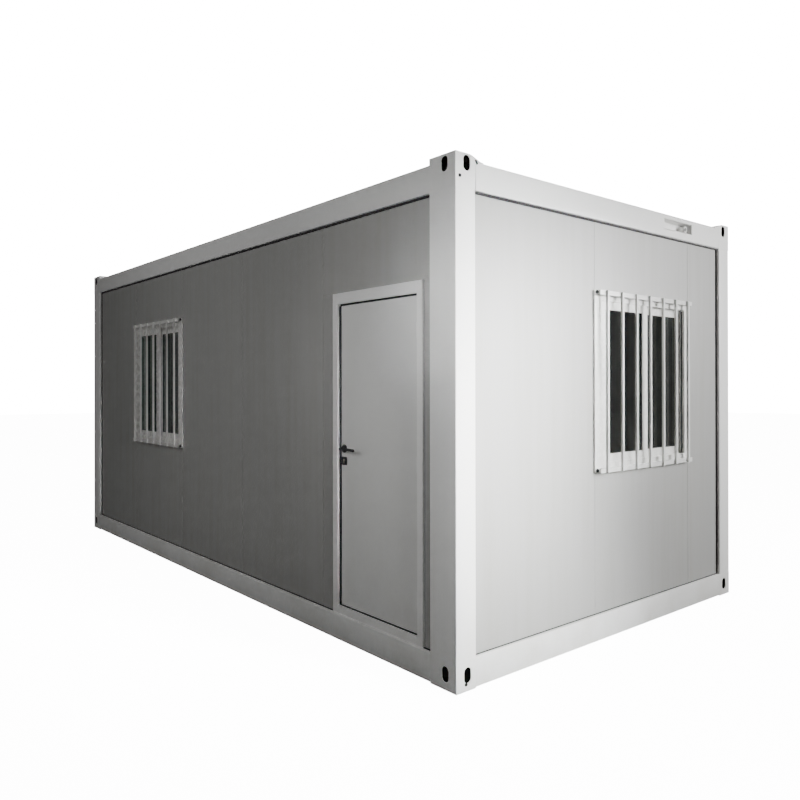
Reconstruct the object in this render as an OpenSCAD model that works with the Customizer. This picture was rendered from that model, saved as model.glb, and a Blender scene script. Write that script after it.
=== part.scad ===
// Flat-pack container house: a steel corner-post frame with sandwich wall panels,
// one hinged door, two barred sliding windows and a recessed power inlet.
// Millimetres, +Z up. The origin is the middle of the footprint, at the underside of
// the bottom corner fittings. +X points to the door end, -Y to the side with the door.

/* [House] */
// Overall length, over the corner fittings
house_l = 6055; // [5000:5:7400]
// Overall width, over the corner fittings
house_w = 2990; // [2480:5:3600]
// Overall height, from the underside of the bottom fittings to the top of the top ones
house_h = 2896; // [2600:2:3500]

/* [Frame] */
// Width of a column and of a fitting along the long side
column_l = 210; // [180:1:260]
// Width of a column and of a fitting along the end
column_w = 150; // [140:1:190]
// Depth of the column's folded edge in front of the wall panels
column_fold = 25; // [20:1:35]
// Size of the column's closed core along the long side
core_l = 150; // [125:0.5:170]
// How far the column's core reaches behind the wall panels
core_past = 7.5; // [5:0.5:15]
// Plate thickness of columns and beams
steel_t = 4; // [3:0.5:6]
// Plate thickness of the corner fittings
fitting_t = 6; // [4:0.5:10]
// Height of a bottom fitting, which is the height of the floor
floor_h = 170; // [165:1:210]
// Height of a top fitting
top_fitting_h = 192; // [185:1:240]
// How far a top fitting rises above the top beams
fitting_rise = 34; // [24:1:42]
// Gap between the floor beams and the ground
beam_lift = 5; // [2:0.5:15]
// How far the beams' flanges reach behind the wall panels
flange_past = 10; // [5:1:30]
// Width of the rim along the top of the top beams
rim_w = 60; // [40:1:90]
// Depth of the turned-down lip of that rim
rim_lip = 20; // [10:1:40]

/* [Fitting slots] */
// Width of a connection slot
slot_w = 52; // [30:1:60]
// End-to-end length of a connection slot
slot_l = 84; // [64:1:100]
// Distance of a long-side slot from the corner edge
slot_from_end = 88; // [60:1:110]
// Distance of an end slot from the corner edge
slot_from_side = 85; // [60:1:95]
// Height of the bottom slots' centres
slot_low_z = 86; // [60:1:100]
// Distance of the top slots' centres below the top of the fittings
slot_top_drop = 53; // [48:1:75]
// Diameter of the stacking hole in the top of each fitting
stack_hole_d = 40; // [24:1:48]
// Distance of the stacking hole from the long side
stack_hole_from_side = 66; // [50:1:68]
// Length of the flat part of a top fitting, before its shoulder curves down
shoulder_start = 95; // [92:1:120]
// Length from the corner to the end of the shoulder, on top of the end beam
shoulder_end = 215; // [200:1:250]
// Thickness of the shoulder where it runs out
shoulder_tip = 3; // [2:0.5:8]

/* [Walls] */
// Thickness of a sandwich panel
panel_t = 75; // [62:1:90]
// Width of one panel, and of a window bay
panel_w = 1150; // [950:1:1380]
// Gap between panel faces
joint_gap = 1; // [0.5:0.1:2]
// Gap between the last panel and the column
panel_end_gap = 2.5; // [1:0.5:4]
// Gap above the panels
panel_top_gap = 4; // [2:1:10]
// Thickness of a panel's tongue
tongue_t = 24; // [15:1:36]
// Length of a panel's tongue
tongue_l = 12; // [6:1:20]
// How far the middle of the end window is from the middle of the end
end_window_offset = 340; // [200:5:380]
// How many panels stand between the door bay and the long-side window
panels_to_window = 2; // [1:1:2]

/* [Door] */
// Width of the bay that holds the door
door_bay_w = 1150; // [1040:1:1250]
// Overall width of the door frame
door_frame_w = 890; // [800:1:940]
// Top of the door frame, above the floor
door_frame_h = 2070; // [1950:1:2120]
// Face width of the door jambs and of the sill
jamb_face = 50; // [40:1:70]
// Face width of the door head
head_face = 68; // [50:1:90]
// How far the door and window frames stand proud of the panels
frame_proud = 12; // [5:1:20]
// Depth of the leaf's face behind the frame's face
leaf_recess = 24; // [20:1:26]
// Thickness of the leaf
leaf_t = 40; // [33:1:48]
// Gap beside the leaf on the lock side
lock_gap = 17; // [11:0.5:20]
// Gap above the leaf
head_gap = 13; // [10:0.5:16]
// Gap under the leaf and on the hinge side
leaf_gap = 6; // [5:0.5:10]
// Gap between the leaf and the stop behind it
stop_gap = 7; // [7:0.5:9]
// How far the stop laps over the leaf on the lock side
stop_lap = 3; // [2:0.5:4]
// Thickness of the rubber seal on the frame
seal_t = 5; // [2:0.5:6]
// Thickness of the rubber seal on the stop
stop_seal_t = 2; // [1:0.5:2]
// Diameter of a hinge knuckle
knuckle_d = 13; // [12:0.5:14]
// Length of one hinge knuckle
knuckle_l = 45; // [30:1:60]
// Diameter of a hinge pin
hinge_pin_d = 8; // [6:0.5:9]
// Distance of the top and bottom hinges from the ends of the leaf
hinge_inset = 200; // [120:5:300]

/* [Door handle] */
// Distance of the lever's spindle from the edge of the leaf
backset = 35; // [33:1:60]
// Height of the spindle above the floor
handle_h = 1067; // [900:1:1150]
// Length of a lever, from its spindle
lever_l = 165; // [110:1:180]
// Diameter of a lever and its neck
lever_d = 18; // [14:0.5:22]
// Distance of a lever's middle from the face of the leaf
lever_out = 45; // [36:1:50]
// Diameter of the spindle
spindle_d = 10; // [8:0.5:12]
// Diameter of a rose
rose_d = 52; // [44:1:60]
// Thickness of a rose
rose_t = 8; // [6:0.5:10]
// Side of the square lock plate
lock_plate_s = 52; // [40:1:60]
// Thickness of the lock plate
lock_plate_t = 6; // [4:0.5:8]
// Distance of the lock plate below the spindle
lock_drop = 79; // [70:1:100]

/* [Windows] */
// Height of the window frames' bottom edge above the floor
sill_h = 908; // [800:1:1000]
// Height of the window frames
window_h = 1177; // [1000:1:1290]
// Face width of a window frame
window_face = 65; // [55:1:80]
// How far a window frame laps over the wall panels on its left and right
window_lap = 14; // [6:1:30]
// How far a sash tucks into the frame
sash_tuck = 11; // [8:1:14]
// Width of a sash bar
sash_bar = 63; // [50:1:75]
// Thickness of a sash
sash_t = 24; // [20:0.5:30]
// Gap on each side of a sash in its channel
slide_gap = 2.25; // [1:0.25:3]
// Thickness of a pane
glass_t = 5; // [4:0.5:8]
// How far a pane sits in the sash
glass_tuck = 8; // [5:0.5:12]

/* [Window bars] */
// Number of upright bars
bar_count = 7; // [5:1:9]
// Side of a square bar
bar_s = 16; // [12:1:24]
// Distance of the outer bars' middles from the window's edges
bar_inset = 77; // [60:1:120]
// How far the bars stand out of the columns' faces
bar_proud = 30; // [24:1:45]
// Height of the two crossing rails
rail_h = 30; // [22:1:45]
// Distance of the rails' ends from the window panel's edges
rail_end = 8; // [0:1:40]
// Thickness of the crossing rails
rail_t = 12; // [8:1:16]
// Diameter of the spacers between the rails and the window frame
spacer_d = 18; // [12:1:24]

/* [Floor and roof] */
// Number of floor joists, and of roof purlins
joist_count = 9; // [6:1:12]
// Distance of the first joist from the end of the house
joist_inset = 627.5; // [400:0.5:700]
// Width of joists and purlins
joist_w = 40; // [30:1:60]
// Height of a joist
joist_h = 120; // [100:1:125]
// Height of a purlin
purlin_h = 80; // [60:1:110]
// Wall thickness of joists and purlins
joist_t = 3; // [2:0.5:5]
// Thickness of the floor board
board_t = 18; // [12:1:24]
// Thickness of the floor covering, the ceiling and the sheet under the floor
sheet_t = 2; // [1.5:0.5:3]
// Distance between the ribs of the roof sheet
rib_pitch = 200; // [150:5:300]
// Height of a roof rib
rib_h = 25; // [15:1:35]
// Width of a roof rib at its top
rib_top = 30; // [20:1:45]
// Width of a roof rib at its foot
rib_foot = 60; // [50:1:90]

/* [Power inlet] */
// Width of the inlet's recess
inlet_w = 378; // [300:1:420]
// Height of the inlet's recess
inlet_h = 73; // [60:1:90]
// Depth of the inlet's recess
inlet_d = 70; // [50:1:90]
// Distance of the recess from the middle of the end
inlet_offset = 747; // [650:1:800]
// Height of the recess's bottom above the end beam's underside
inlet_lift = 53; // [40:1:58]
// Diameter of the socket's collar
socket_d = 48; // [38:1:52]
// Diameter of the socket's mouth
socket_mouth_d = 34; // [26:1:36]

/* [Hidden] */

// Finishes, for the preview only
FRAME_WHITE = [0.86, 0.87, 0.87];
PANEL_WHITE = [0.78, 0.79, 0.78];
PLASTIC_WHITE = [0.93, 0.93, 0.92];
BLACK = [0.06, 0.06, 0.06];
GLASS_GREY = [0.25, 0.30, 0.32, 0.5];
ZINC = [0.62, 0.65, 0.67];
BOARD = [0.60, 0.55, 0.47];

// Sides of the house, as turns about +Z from the front
FRONT = 0;
RIGHT = 90;
BACK = 180;
LEFT = 270;

// Small fits
WELD = 2;           // depth that one welded bar sinks into another
RUNNING = 0.05;     // radial clearance of a turning pin
SEAT = 0.3;         // gap under a piece that rests in a groove
WASHER = 0.6;       // gap between two hinge knuckles
CUT = 1;            // how far a cutting shape runs past a face
ROUND = 48;         // facets of round parts
SHOULDER_STEPS = 8; // flats that make up the fitting's curved shoulder

LIP = 5;            // thickness of a window frame's outer lip
TRACK_RIB = 4;      // thickness of the rib between the two sash channels
SASH_PLAY = 2;      // gap between a sash and the side of its channel
LIFT_IN = 3;        // gap above a sash, which lets it be lifted in
KNUCKLE_GAP = 3.5;  // gap between a hinge knuckle and the leaf's face
CAVITY_WALL = 1;    // metal left beside a slot inside a top fitting
RUN_OFF = 5;        // gap between an end of the roof and the power inlet

half_l = house_l / 2;
half_w = house_w / 2;
beam_top = house_h - fitting_rise;
beam_under = house_h - top_fitting_h;

// Wall planes, as depths behind the outer face of the columns
skin_out = column_fold;
skin_in = skin_out + panel_t;
core_w = skin_in + core_past;
flange_w = skin_in + flange_past;
frame_face = skin_out - frame_proud;
wall_top = beam_under - panel_top_gap;
clear_l = half_l - core_l - panel_end_gap;
clear_w = half_w - core_w - panel_end_gap;

// Door places
door_x = clear_l - door_bay_w / 2;
door_left = door_x - door_frame_w / 2;
door_right = door_x + door_frame_w / 2;
door_head = floor_h + door_frame_h;
mouth_left = door_left + jamb_face;
mouth_right = door_right - jamb_face;
mouth_low = floor_h + jamb_face;
mouth_high = door_head - head_face;
leaf_face = frame_face + leaf_recess;
leaf_back = leaf_face + leaf_t;
leaf_left = mouth_left + lock_gap;
leaf_right = mouth_right - leaf_gap;
leaf_low = mouth_low + leaf_gap;
leaf_high = mouth_high - head_gap;
stop_face = leaf_back + stop_gap;
stop_w = lock_gap + stop_lap;
hinge_x = leaf_right - WELD;
hinge_v = leaf_face - knuckle_d / 2 - KNUCKLE_GAP;
hinge_zs = [leaf_low + hinge_inset, (leaf_low + leaf_high) / 2, leaf_high - hinge_inset];
spindle_x = leaf_left + backset;
spindle_z = floor_h + handle_h;

// Window places
window_x = door_x - door_bay_w / 2 - (panels_to_window + 1 / 2) * panel_w;
window_w = panel_w - joint_gap;
window_low = floor_h + sill_h;
window_high = window_low + window_h;
channel_out = frame_face + LIP;
channel_mid = channel_out + sash_t + 2 * slide_gap;
channel_in = channel_mid + TRACK_RIB + sash_t + 2 * slide_gap;
channel_inset = window_face - sash_tuck - SASH_PLAY;
sash_high = window_h - 2 * channel_inset - SEAT - LIFT_IN;
sash_wide = (window_w - 2 * channel_inset) / 2 + sash_bar / 2 - SASH_PLAY;

// Floor and roof levels
joist_top = floor_h - sheet_t - board_t;
ceiling_z = beam_under + steel_t;
purlin_z = ceiling_z + sheet_t;
roof_z = purlin_z + purlin_h;
joist_step = (house_l - 2 * joist_inset) / (joist_count - 1);
roof_edge = 20;
bay_half_l = half_l - column_l - joint_gap;
bay_half_w = half_w - column_w - joint_gap;

// ---------- helpers ----------

// Draws in a side's own axes: x along the wall, y inward from the columns' outer face
module on_side(turn) {
    depth = turn % 180 == 0 ? half_w : half_l;
    rotate([0, 0, turn]) translate([0, -depth, 0]) children();
}

// Draws in a corner's own axes: x and y inward from the corner's two outer faces
module at_corner(sx, sy) {
    translate([sx * half_l, sy * half_w, 0])
        mirror([sx > 0 ? 1 : 0, 0, 0])
            mirror([0, sy > 0 ? 1 : 0, 0])
                children();
}

module all_corners() {
    for (sx = [-1, 1], sy = [-1, 1])
        at_corner(sx, sy) children();
}

// A block between two opposite corners
module block(low, high) {
    translate(low) cube(high - low);
}

// A section drawn as [depth, height], run along x
module along_x(points, x0, x1) {
    translate([x0, 0, 0])
        rotate([90, 0, 90])
            linear_extrude(height = x1 - x0) polygon(points);
}

// A round bar along the depth of a wall
module across_wall(x, z, v0, v1, d) {
    translate([x, v0, z]) rotate([-90, 0, 0]) cylinder(d = d, h = v1 - v0, $fn = ROUND);
}

// A ring of square section around a rectangle, seen from the front
module surround(x0, x1, z0, z1, v0, v1, face) {
    difference() {
        block([x0, v0, z0], [x1, v1, z1]);
        block([x0 + face, v0 - CUT, z0 + face], [x1 - face, v1 + CUT, z1 - face]);
    }
}

// Bays laid from a towards b, with what is left over at b
function bays(a, b, w) = b > a
    ? [for (x = [a : w : b - CUT]) [x, min(x + w, b)]]
    : [for (x = [a : -w : b + CUT]) [max(x - w, b), x]];

// ---------- steel frame ----------

module bottom_beam(turn, reach) {
    color(FRAME_WHITE) on_side(turn)
        along_x([
            [0, beam_lift], [flange_w, beam_lift],
            [flange_w, beam_lift + steel_t], [steel_t, beam_lift + steel_t],
            [steel_t, floor_h - steel_t], [flange_w, floor_h - steel_t],
            [flange_w, floor_h], [0, floor_h]
        ], -reach, reach);
}

module top_beam(turn, reach) {
    color(FRAME_WHITE) on_side(turn)
        along_x([
            [0, beam_under], [flange_w, beam_under],
            [flange_w, beam_under + steel_t], [steel_t, beam_under + steel_t],
            [steel_t, beam_top - steel_t], [rim_w - steel_t, beam_top - steel_t],
            [rim_w - steel_t, beam_top - rim_lip], [rim_w, beam_top - rim_lip],
            [rim_w, beam_top], [0, beam_top]
        ], -reach, reach);
}

module top_beam_with_inlet() {
    difference() {
        top_beam(RIGHT, half_w - column_w);
        on_side(RIGHT) inlet_block(-CUT, steel_t + CUT, SEAT);
    }
}

// The column's outline, or its inside when drawn one plate thickness smaller
function column_outline(t) = [
    [t, t], [column_l - t, t], [column_l - t, column_fold - t],
    [core_l - t, column_fold - t], [core_l - t, core_w - t],
    [column_fold - t, core_w - t], [column_fold - t, column_w - t], [t, column_w - t]
];

module column(sx, sy) {
    color(FRAME_WHITE) at_corner(sx, sy)
        translate([0, 0, floor_h])
            linear_extrude(height = beam_under - floor_h)
                difference() {
                    polygon(column_outline(0));
                    polygon(column_outline(steel_t));
                }
}

// An upright slot with round ends, cut through a plate that faces -y
module slot(x, z) {
    straight = slot_l - slot_w;
    for (end = [-1, 1])
        across_wall(x, z + end * straight / 2, -CUT, fitting_t + CUT, slot_w);
    block([x - slot_w / 2, -CUT, z - straight / 2], [x + slot_w / 2, fitting_t + CUT, z + straight / 2]);
}

// The slots in a fitting's two outer faces
module fitting_slots(z) {
    slot(slot_from_end, z);
    mirror([1, -1, 0]) slot(slot_from_side, z);
}

module bottom_corner_fittings() {
    color(FRAME_WHITE) all_corners()
        difference() {
            cube([column_l, column_w, floor_h]);
            translate([fitting_t, fitting_t, fitting_t])
                cube([column_l, column_w, floor_h] - 2 * fitting_t * [1, 1, 1]);
            fitting_slots(slot_low_z);
        }
}

// Height of a top fitting's upper face at a distance from the long side
function shoulder_z(v) =
    beam_top + shoulder_tip + (fitting_rise - shoulder_tip)
        * (1 + cos(180 * max(0, v - shoulder_start) / (shoulder_end - shoulder_start))) / 2;

module top_corner_fittings() {
    step = (shoulder_end - shoulder_start) / SHOULDER_STEPS;
    outer = [for (i = [0 : SHOULDER_STEPS]) let (v = shoulder_start + i * step) [v, shoulder_z(v)]];
    color(FRAME_WHITE) all_corners()
        difference() {
            along_x(concat(
                [[0, beam_under], [column_w, beam_under], [column_w, beam_top],
                 [shoulder_end, beam_top]],
                [for (i = [SHOULDER_STEPS : -1 : 0]) outer[i]],
                [[0, house_h]]
            ), 0, column_l);
            block([fitting_t, fitting_t, beam_under + fitting_t],
                  [column_l - fitting_t, column_w - fitting_t, beam_top]);
            block([fitting_t, fitting_t, beam_top - CUT],
                  [column_l - fitting_t, slot_from_side + slot_w / 2 + CAVITY_WALL, house_h - fitting_t]);
            fitting_slots(house_h - slot_top_drop);
            translate([slot_from_end, stack_hole_from_side, house_h - fitting_t - CUT])
                cylinder(d = stack_hole_d, h = fitting_t + 2 * CUT, $fn = ROUND);
        }
}

// ---------- floor, ceiling and roof ----------

// A level sheet in parts: a wide strip along the middle of the house, divided at the seams,
// and a narrow strip on each side between the corner fittings
module level_sheet(edge, z, t, seams = []) {
    ends = concat([edge - half_l], seams, [half_l - edge]);
    for (i = [0 : len(seams)])
        block([ends[i] + (i > 0 ? joint_gap : 0), -bay_half_w, z], [ends[i + 1], bay_half_w, z + t]);
    side_strips(edge, z, t);
}

module side_strips(edge, z, t) {
    for (side = [0, 1])
        mirror([0, side, 0])
            block([-bay_half_l, bay_half_w + joint_gap, z], [bay_half_l, half_w - edge, z + t]);
}

// Hollow bars across the house, between the webs of the side beams
module cross_bars(z, h) {
    reach = half_w - steel_t;
    for (i = [0 : joist_count - 1])
        translate([joist_inset - half_l + i * joist_step - joist_w / 2, -reach, z])
            difference() {
                cube([joist_w, 2 * reach, h]);
                translate([joist_t, -CUT, joist_t])
                    cube([joist_w - 2 * joist_t, 2 * reach + 2 * CUT, h - 2 * joist_t]);
            }
}

module floor_joists() {
    color(ZINC) cross_bars(joist_top - joist_h, joist_h);
}

// Boards that meet over every second joist
module floor_board() {
    seams = [for (i = [1 : 2 : joist_count - 2]) joist_inset - half_l + i * joist_step];
    color(BOARD) level_sheet(flange_w + joint_gap, joist_top, board_t, seams);
}

module floor_covering() {
    color(PANEL_WHITE) level_sheet(flange_w + joint_gap, floor_h - sheet_t, sheet_t);
}

module underfloor_sheet() {
    color(ZINC) level_sheet(flange_w + joint_gap, joist_top - joist_h - sheet_t, sheet_t);
}

module ceiling_sheet() {
    color(PANEL_WHITE) level_sheet(flange_w - roof_edge, ceiling_z, sheet_t);
}

module roof_purlins() {
    color(ZINC) cross_bars(purlin_z, purlin_h);
}

// A ribbed sheet along the middle of the house, and flat strips beside it
module roof_sheet() {
    reach = half_l - inlet_d - RUN_OFF;
    count = floor((2 * bay_half_w - rib_foot) / rib_pitch);
    first = -count * rib_pitch / 2;
    slope = (rib_foot - rib_top) / 2;
    rib = [[-rib_foot / 2, 0], [-rib_foot / 2 + slope, rib_h],
           [rib_foot / 2 - slope, rib_h], [rib_foot / 2, 0]];
    line = concat([[-bay_half_w, 0]],
                  [for (i = [0 : count], p = rib) [first + i * rib_pitch + p[0], p[1]]],
                  [[bay_half_w, 0]]);
    under = [for (p = line) [p[0], roof_z + p[1]]];
    over = [for (i = [len(line) - 1 : -1 : 0]) [line[i][0], roof_z + line[i][1] + sheet_t]];
    color(PANEL_WHITE) {
        along_x(concat(under, over), -reach, reach);
        side_strips(roof_edge, roof_z, sheet_t);
    }
}

// ---------- walls ----------

// A full-height panel with a tongue on its high-x edge and a groove on its low-x edge
module panel(x0, x1, tongue, groove) {
    a = x0 + joint_gap / 2;
    b = x1 - joint_gap / 2;
    mid = (skin_out + skin_in) / 2;
    groove_t = tongue_t + joint_gap;
    left = groove
        ? [[a, mid + groove_t / 2], [a + tongue_l + joint_gap, mid + groove_t / 2],
           [a + tongue_l + joint_gap, mid - groove_t / 2], [a, mid - groove_t / 2]]
        : [];
    right = tongue
        ? [[b, mid - tongue_t / 2], [b + tongue_l, mid - tongue_t / 2],
           [b + tongue_l, mid + tongue_t / 2], [b, mid + tongue_t / 2]]
        : [];
    translate([0, 0, floor_h])
        linear_extrude(height = wall_top - floor_h)
            polygon(concat([[a, skin_out], [b, skin_out]], right, [[b, skin_in], [a, skin_in]], left));
}

// A run of panels from a to b, locked together by their tongues
module panel_run(a, b) {
    spans = bays(a, b, panel_w);
    low = min(a, b);
    high = max(a, b);
    for (s = spans)
        panel(s[0], s[1], tongue = s[1] < high - CUT, groove = s[0] > low + CUT);
}

// Panel pieces under and over an opening that takes up a whole bay
module bay_infill(x, low, high, bay_w) {
    x0 = x - (bay_w - joint_gap) / 2;
    x1 = x + (bay_w - joint_gap) / 2;
    if (low > floor_h)
        block([x0, skin_out, floor_h], [x1, skin_in, low]);
    block([x0, skin_out, high], [x1, skin_in, wall_top]);
}

module front_wall_panels() {
    color(PANEL_WHITE) on_side(FRONT) {
        panel_run(door_x - door_bay_w / 2, window_x + panel_w / 2);
        panel_run(window_x - panel_w / 2, -clear_l);
    }
}

module front_wall_window_infill() {
    color(PANEL_WHITE) on_side(FRONT) bay_infill(window_x, window_low, window_high, panel_w);
}

module front_wall_beside_door() {
    edge = (door_bay_w - joint_gap) / 2;
    color(PANEL_WHITE) on_side(FRONT) {
        block([door_x - edge, skin_out, floor_h], [door_left, skin_in, door_head]);
        block([door_right, skin_out, floor_h], [door_x + edge, skin_in, door_head]);
    }
}

module front_wall_over_door() {
    color(PANEL_WHITE) on_side(FRONT) bay_infill(door_x, floor_h, door_head, door_bay_w);
}

module right_wall_panels() {
    color(PANEL_WHITE) on_side(RIGHT) {
        panel_run(end_window_offset - panel_w / 2, -clear_w);
        panel_run(end_window_offset + panel_w / 2, clear_w);
    }
}

module right_wall_window_infill() {
    color(PANEL_WHITE) on_side(RIGHT)
        bay_infill(end_window_offset, window_low, window_high, panel_w);
}

module back_wall_panels() {
    color(PANEL_WHITE) on_side(BACK) panel_run(-clear_l, clear_l);
}

module left_wall_panels() {
    color(PANEL_WHITE) on_side(LEFT) panel_run(-clear_w, clear_w);
}

// ---------- door ----------

module door_frame() {
    color(FRAME_WHITE) on_side(FRONT)
        difference() {
            block([door_left, frame_face, floor_h], [door_right, skin_in, door_head]);
            block([mouth_left, frame_face - CUT, mouth_low], [mouth_right, stop_face, mouth_high]);
            block([mouth_left + stop_w, stop_face - CUT, mouth_low + stop_w],
                  [mouth_right - stop_w, skin_in + CUT, mouth_high - stop_w]);
        }
}

// Rubber round three sides of the leaf: one limb on the frame, one on the stop
module door_seal() {
    v0 = leaf_face + seal_t;    // the rubber starts a little behind the leaf's face
    limb = stop_w - SEAT;
    color(BLACK) on_side(FRONT)
        difference() {
            block([mouth_left, v0, mouth_low], [mouth_right - CUT, stop_face, mouth_high]);
            block([mouth_left + seal_t, v0 - CUT, mouth_low - CUT],
                  [mouth_right, stop_face - stop_seal_t, mouth_high - seal_t]);
            block([mouth_left + limb, v0 - CUT, mouth_low - CUT],
                  [mouth_right, stop_face + CUT, mouth_high - limb]);
        }
}

// Fixed half of each hinge: the lower knuckle, its strap to the jamb and its pin
module door_hinge_pins() {
    color(FRAME_WHITE) on_side(FRONT)
        for (z = hinge_zs) {
            translate([hinge_x, hinge_v, z - knuckle_l]) {
                cylinder(d = knuckle_d, h = knuckle_l, $fn = ROUND);
                cylinder(d = hinge_pin_d, h = 2 * knuckle_l + WASHER - WELD, $fn = ROUND);
            }
            block([hinge_x, hinge_v - WELD, z - knuckle_l], [mouth_right, hinge_v + WELD, z]);
        }
}

// Moving half of each hinge: the upper knuckle and its strap to the leaf
module door_hinge_barrels() {
    color(FRAME_WHITE) on_side(FRONT)
        for (z = hinge_zs)
            difference() {
                union() {
                    translate([hinge_x, hinge_v, z + WASHER])
                        cylinder(d = knuckle_d, h = knuckle_l, $fn = ROUND);
                    block([hinge_x - knuckle_d / 2, hinge_v, z + WASHER],
                          [hinge_x, leaf_face, z + WASHER + knuckle_l]);
                }
                translate([hinge_x, hinge_v, z])
                    cylinder(d = hinge_pin_d + 2 * RUNNING, h = 2 * knuckle_l, $fn = ROUND);
            }
}

module door_leaf() {
    color(FRAME_WHITE) on_side(FRONT)
        difference() {
            block([leaf_left, leaf_face, leaf_low], [leaf_right, leaf_back, leaf_high]);
            across_wall(spindle_x, spindle_z, leaf_face - CUT, leaf_back + CUT, lever_d);
        }
}

// Roses round the spindle and lock plates below them, on both faces of the leaf
module door_lock_plates() {
    half = lock_plate_s / 2;
    z = spindle_z - lock_drop;
    color(BLACK) on_side(FRONT) {
        for (v = [leaf_face - rose_t, leaf_back])
            difference() {
                across_wall(spindle_x, spindle_z, v, v + rose_t, rose_d);
                across_wall(spindle_x, spindle_z, v - CUT, v + rose_t + CUT, lever_d + 2 * RUNNING);
            }
        for (v = [leaf_face - lock_plate_t, leaf_back])
            block([spindle_x - half, v, z - half], [spindle_x + half, v + lock_plate_t, z + half]);
    }
}

module lever_arm(v, neck_v) {
    across_wall(spindle_x, spindle_z, min(v, neck_v), max(v, neck_v), lever_d);
    translate([spindle_x, v, spindle_z]) {
        sphere(d = lever_d, $fn = ROUND);
        rotate([0, 90, 0]) cylinder(d = lever_d, h = lever_l - lever_d / 2, $fn = ROUND);
        translate([lever_l - lever_d / 2, 0, 0]) sphere(d = lever_d, $fn = ROUND);
    }
}

module door_lever() {
    outer = leaf_face - lever_out;
    inner = leaf_back + lever_out;
    color(BLACK) on_side(FRONT) {
        lever_arm(outer, leaf_face - SEAT);
        lever_arm(inner, leaf_back + SEAT);
        across_wall(spindle_x, spindle_z, outer, inner, spindle_d);
    }
}

// ---------- windows ----------

// Frame with an outer lip that laps over the panels, an inner lip, and a channel split by the
// track's middle rib
module window_frame(x) {
    x0 = x - window_w / 2;
    x1 = x + window_w / 2;
    rib_face = channel_inset + sash_tuck / 2;
    color(PLASTIC_WHITE) union() {
        surround(x0, x1, window_low, window_high, frame_face, channel_out, window_face);
        surround(x0, x1, window_low, window_high, channel_out, channel_in, channel_inset);
        surround(x0, x1, window_low, window_high, channel_in, skin_in, window_face);
        surround(x0, x1, window_low, window_high, channel_mid, channel_mid + TRACK_RIB, rib_face);
        for (edge = [x0, x1])
            block([edge - window_lap, frame_face, window_low],
                  [edge + window_lap, skin_out - SEAT, window_high]);
    }
}

// Runs its children once for each sash, moved to that sash's corner and track
module each_sash(x) {
    left = x - window_w / 2 + channel_inset + SASH_PLAY;
    right = x + window_w / 2 - channel_inset - SASH_PLAY - sash_wide;
    low = window_low + channel_inset + SEAT;
    translate([left, channel_out + slide_gap, low]) children();
    translate([right, channel_mid + TRACK_RIB + slide_gap, low]) children();
}

module window_sashes(x) {
    groove = sash_bar - glass_tuck;
    mid = sash_t / 2;
    half_groove = glass_t / 2 + SEAT;
    color(PLASTIC_WHITE) each_sash(x)
        difference() {
            surround(0, sash_wide, 0, sash_high, 0, sash_t, sash_bar);
            block([groove, mid - half_groove, groove],
                  [sash_wide - groove, mid + half_groove, sash_high - groove]);
        }
}

module window_glass(x) {
    edge = sash_bar - glass_tuck + SEAT;
    color(GLASS_GREY) each_sash(x)
        block([edge, (sash_t - glass_t) / 2, edge],
              [sash_wide - edge, (sash_t + glass_t) / 2, sash_high - edge]);
}

// Upright bars welded to two rails, on spacers that stand on the window frame
module window_bars(x) {
    first = x - panel_w / 2 + bar_inset;
    last = x + panel_w / 2 - bar_inset;
    step = (last - first) / (bar_count - 1);
    bar_back = bar_s - bar_proud;
    rail_back = bar_back - WELD + rail_t;
    color(PLASTIC_WHITE) union() {
        for (i = [0 : bar_count - 1])
            translate([first + i * step - bar_s / 2, -bar_proud, window_low])
                cube([bar_s, bar_s, window_h]);
        for (z = [window_low + rail_h / 2, window_high - rail_h / 2]) {
            block([x - window_w / 2 + rail_end, bar_back - WELD, z - rail_h / 2],
                  [x + window_w / 2 - rail_end, rail_back, z + rail_h / 2]);
            for (i = [0, floor(bar_count / 2), bar_count - 1])
                across_wall(first + i * step, z, rail_back - WELD, frame_face, spacer_d);
        }
    }
}

// ---------- power inlet ----------

// The space of the recess in the end beam, grown by a margin
module inlet_block(v0, v1, margin) {
    z = beam_under + inlet_lift;
    block([inlet_offset - inlet_w / 2 - margin, v0, z - margin],
          [inlet_offset + inlet_w / 2 + margin, v1, z + inlet_h + margin]);
}

// A tray let into the end beam, with a socket at its far end
module power_inlet() {
    z = beam_under + inlet_lift + inlet_h / 2;
    socket_x = inlet_offset + inlet_w / 2 - socket_d;
    color(ZINC) on_side(RIGHT)
        difference() {
            union() {
                difference() {
                    inlet_block(0, inlet_d, 0);
                    inlet_block(-CUT, inlet_d - sheet_t, -sheet_t);
                }
                across_wall(socket_x, z, inlet_d / 3, inlet_d - CUT, socket_d);
            }
            across_wall(socket_x, z, -CUT, inlet_d - 2 * sheet_t, socket_mouth_d);
        }
}

bottom_beam(FRONT, half_l - column_l);  // bottom_beam_front
bottom_beam(BACK, half_l - column_l);  // bottom_beam_back
bottom_beam(LEFT, half_w - column_w);  // bottom_beam_left
bottom_beam(RIGHT, half_w - column_w);  // bottom_beam_right
top_beam(FRONT, half_l - column_l);  // top_beam_front
top_beam(BACK, half_l - column_l);  // top_beam_back
top_beam(LEFT, half_w - column_w);  // top_beam_left
top_beam_with_inlet();  // top_beam_right
column(-1, -1);  // column_front_left
column(1, -1);  // column_front_right
column(-1, 1);  // column_back_left
column(1, 1);  // column_back_right
bottom_corner_fittings();
top_corner_fittings();
floor_joists();
floor_board();
floor_covering();
underfloor_sheet();
roof_purlins();
roof_sheet();
ceiling_sheet();
front_wall_panels();
front_wall_window_infill();
front_wall_beside_door();
front_wall_over_door();
right_wall_panels();
right_wall_window_infill();
back_wall_panels();
left_wall_panels();
door_frame();
door_seal();
door_hinge_pins();
door_hinge_barrels();
door_leaf();
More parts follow.
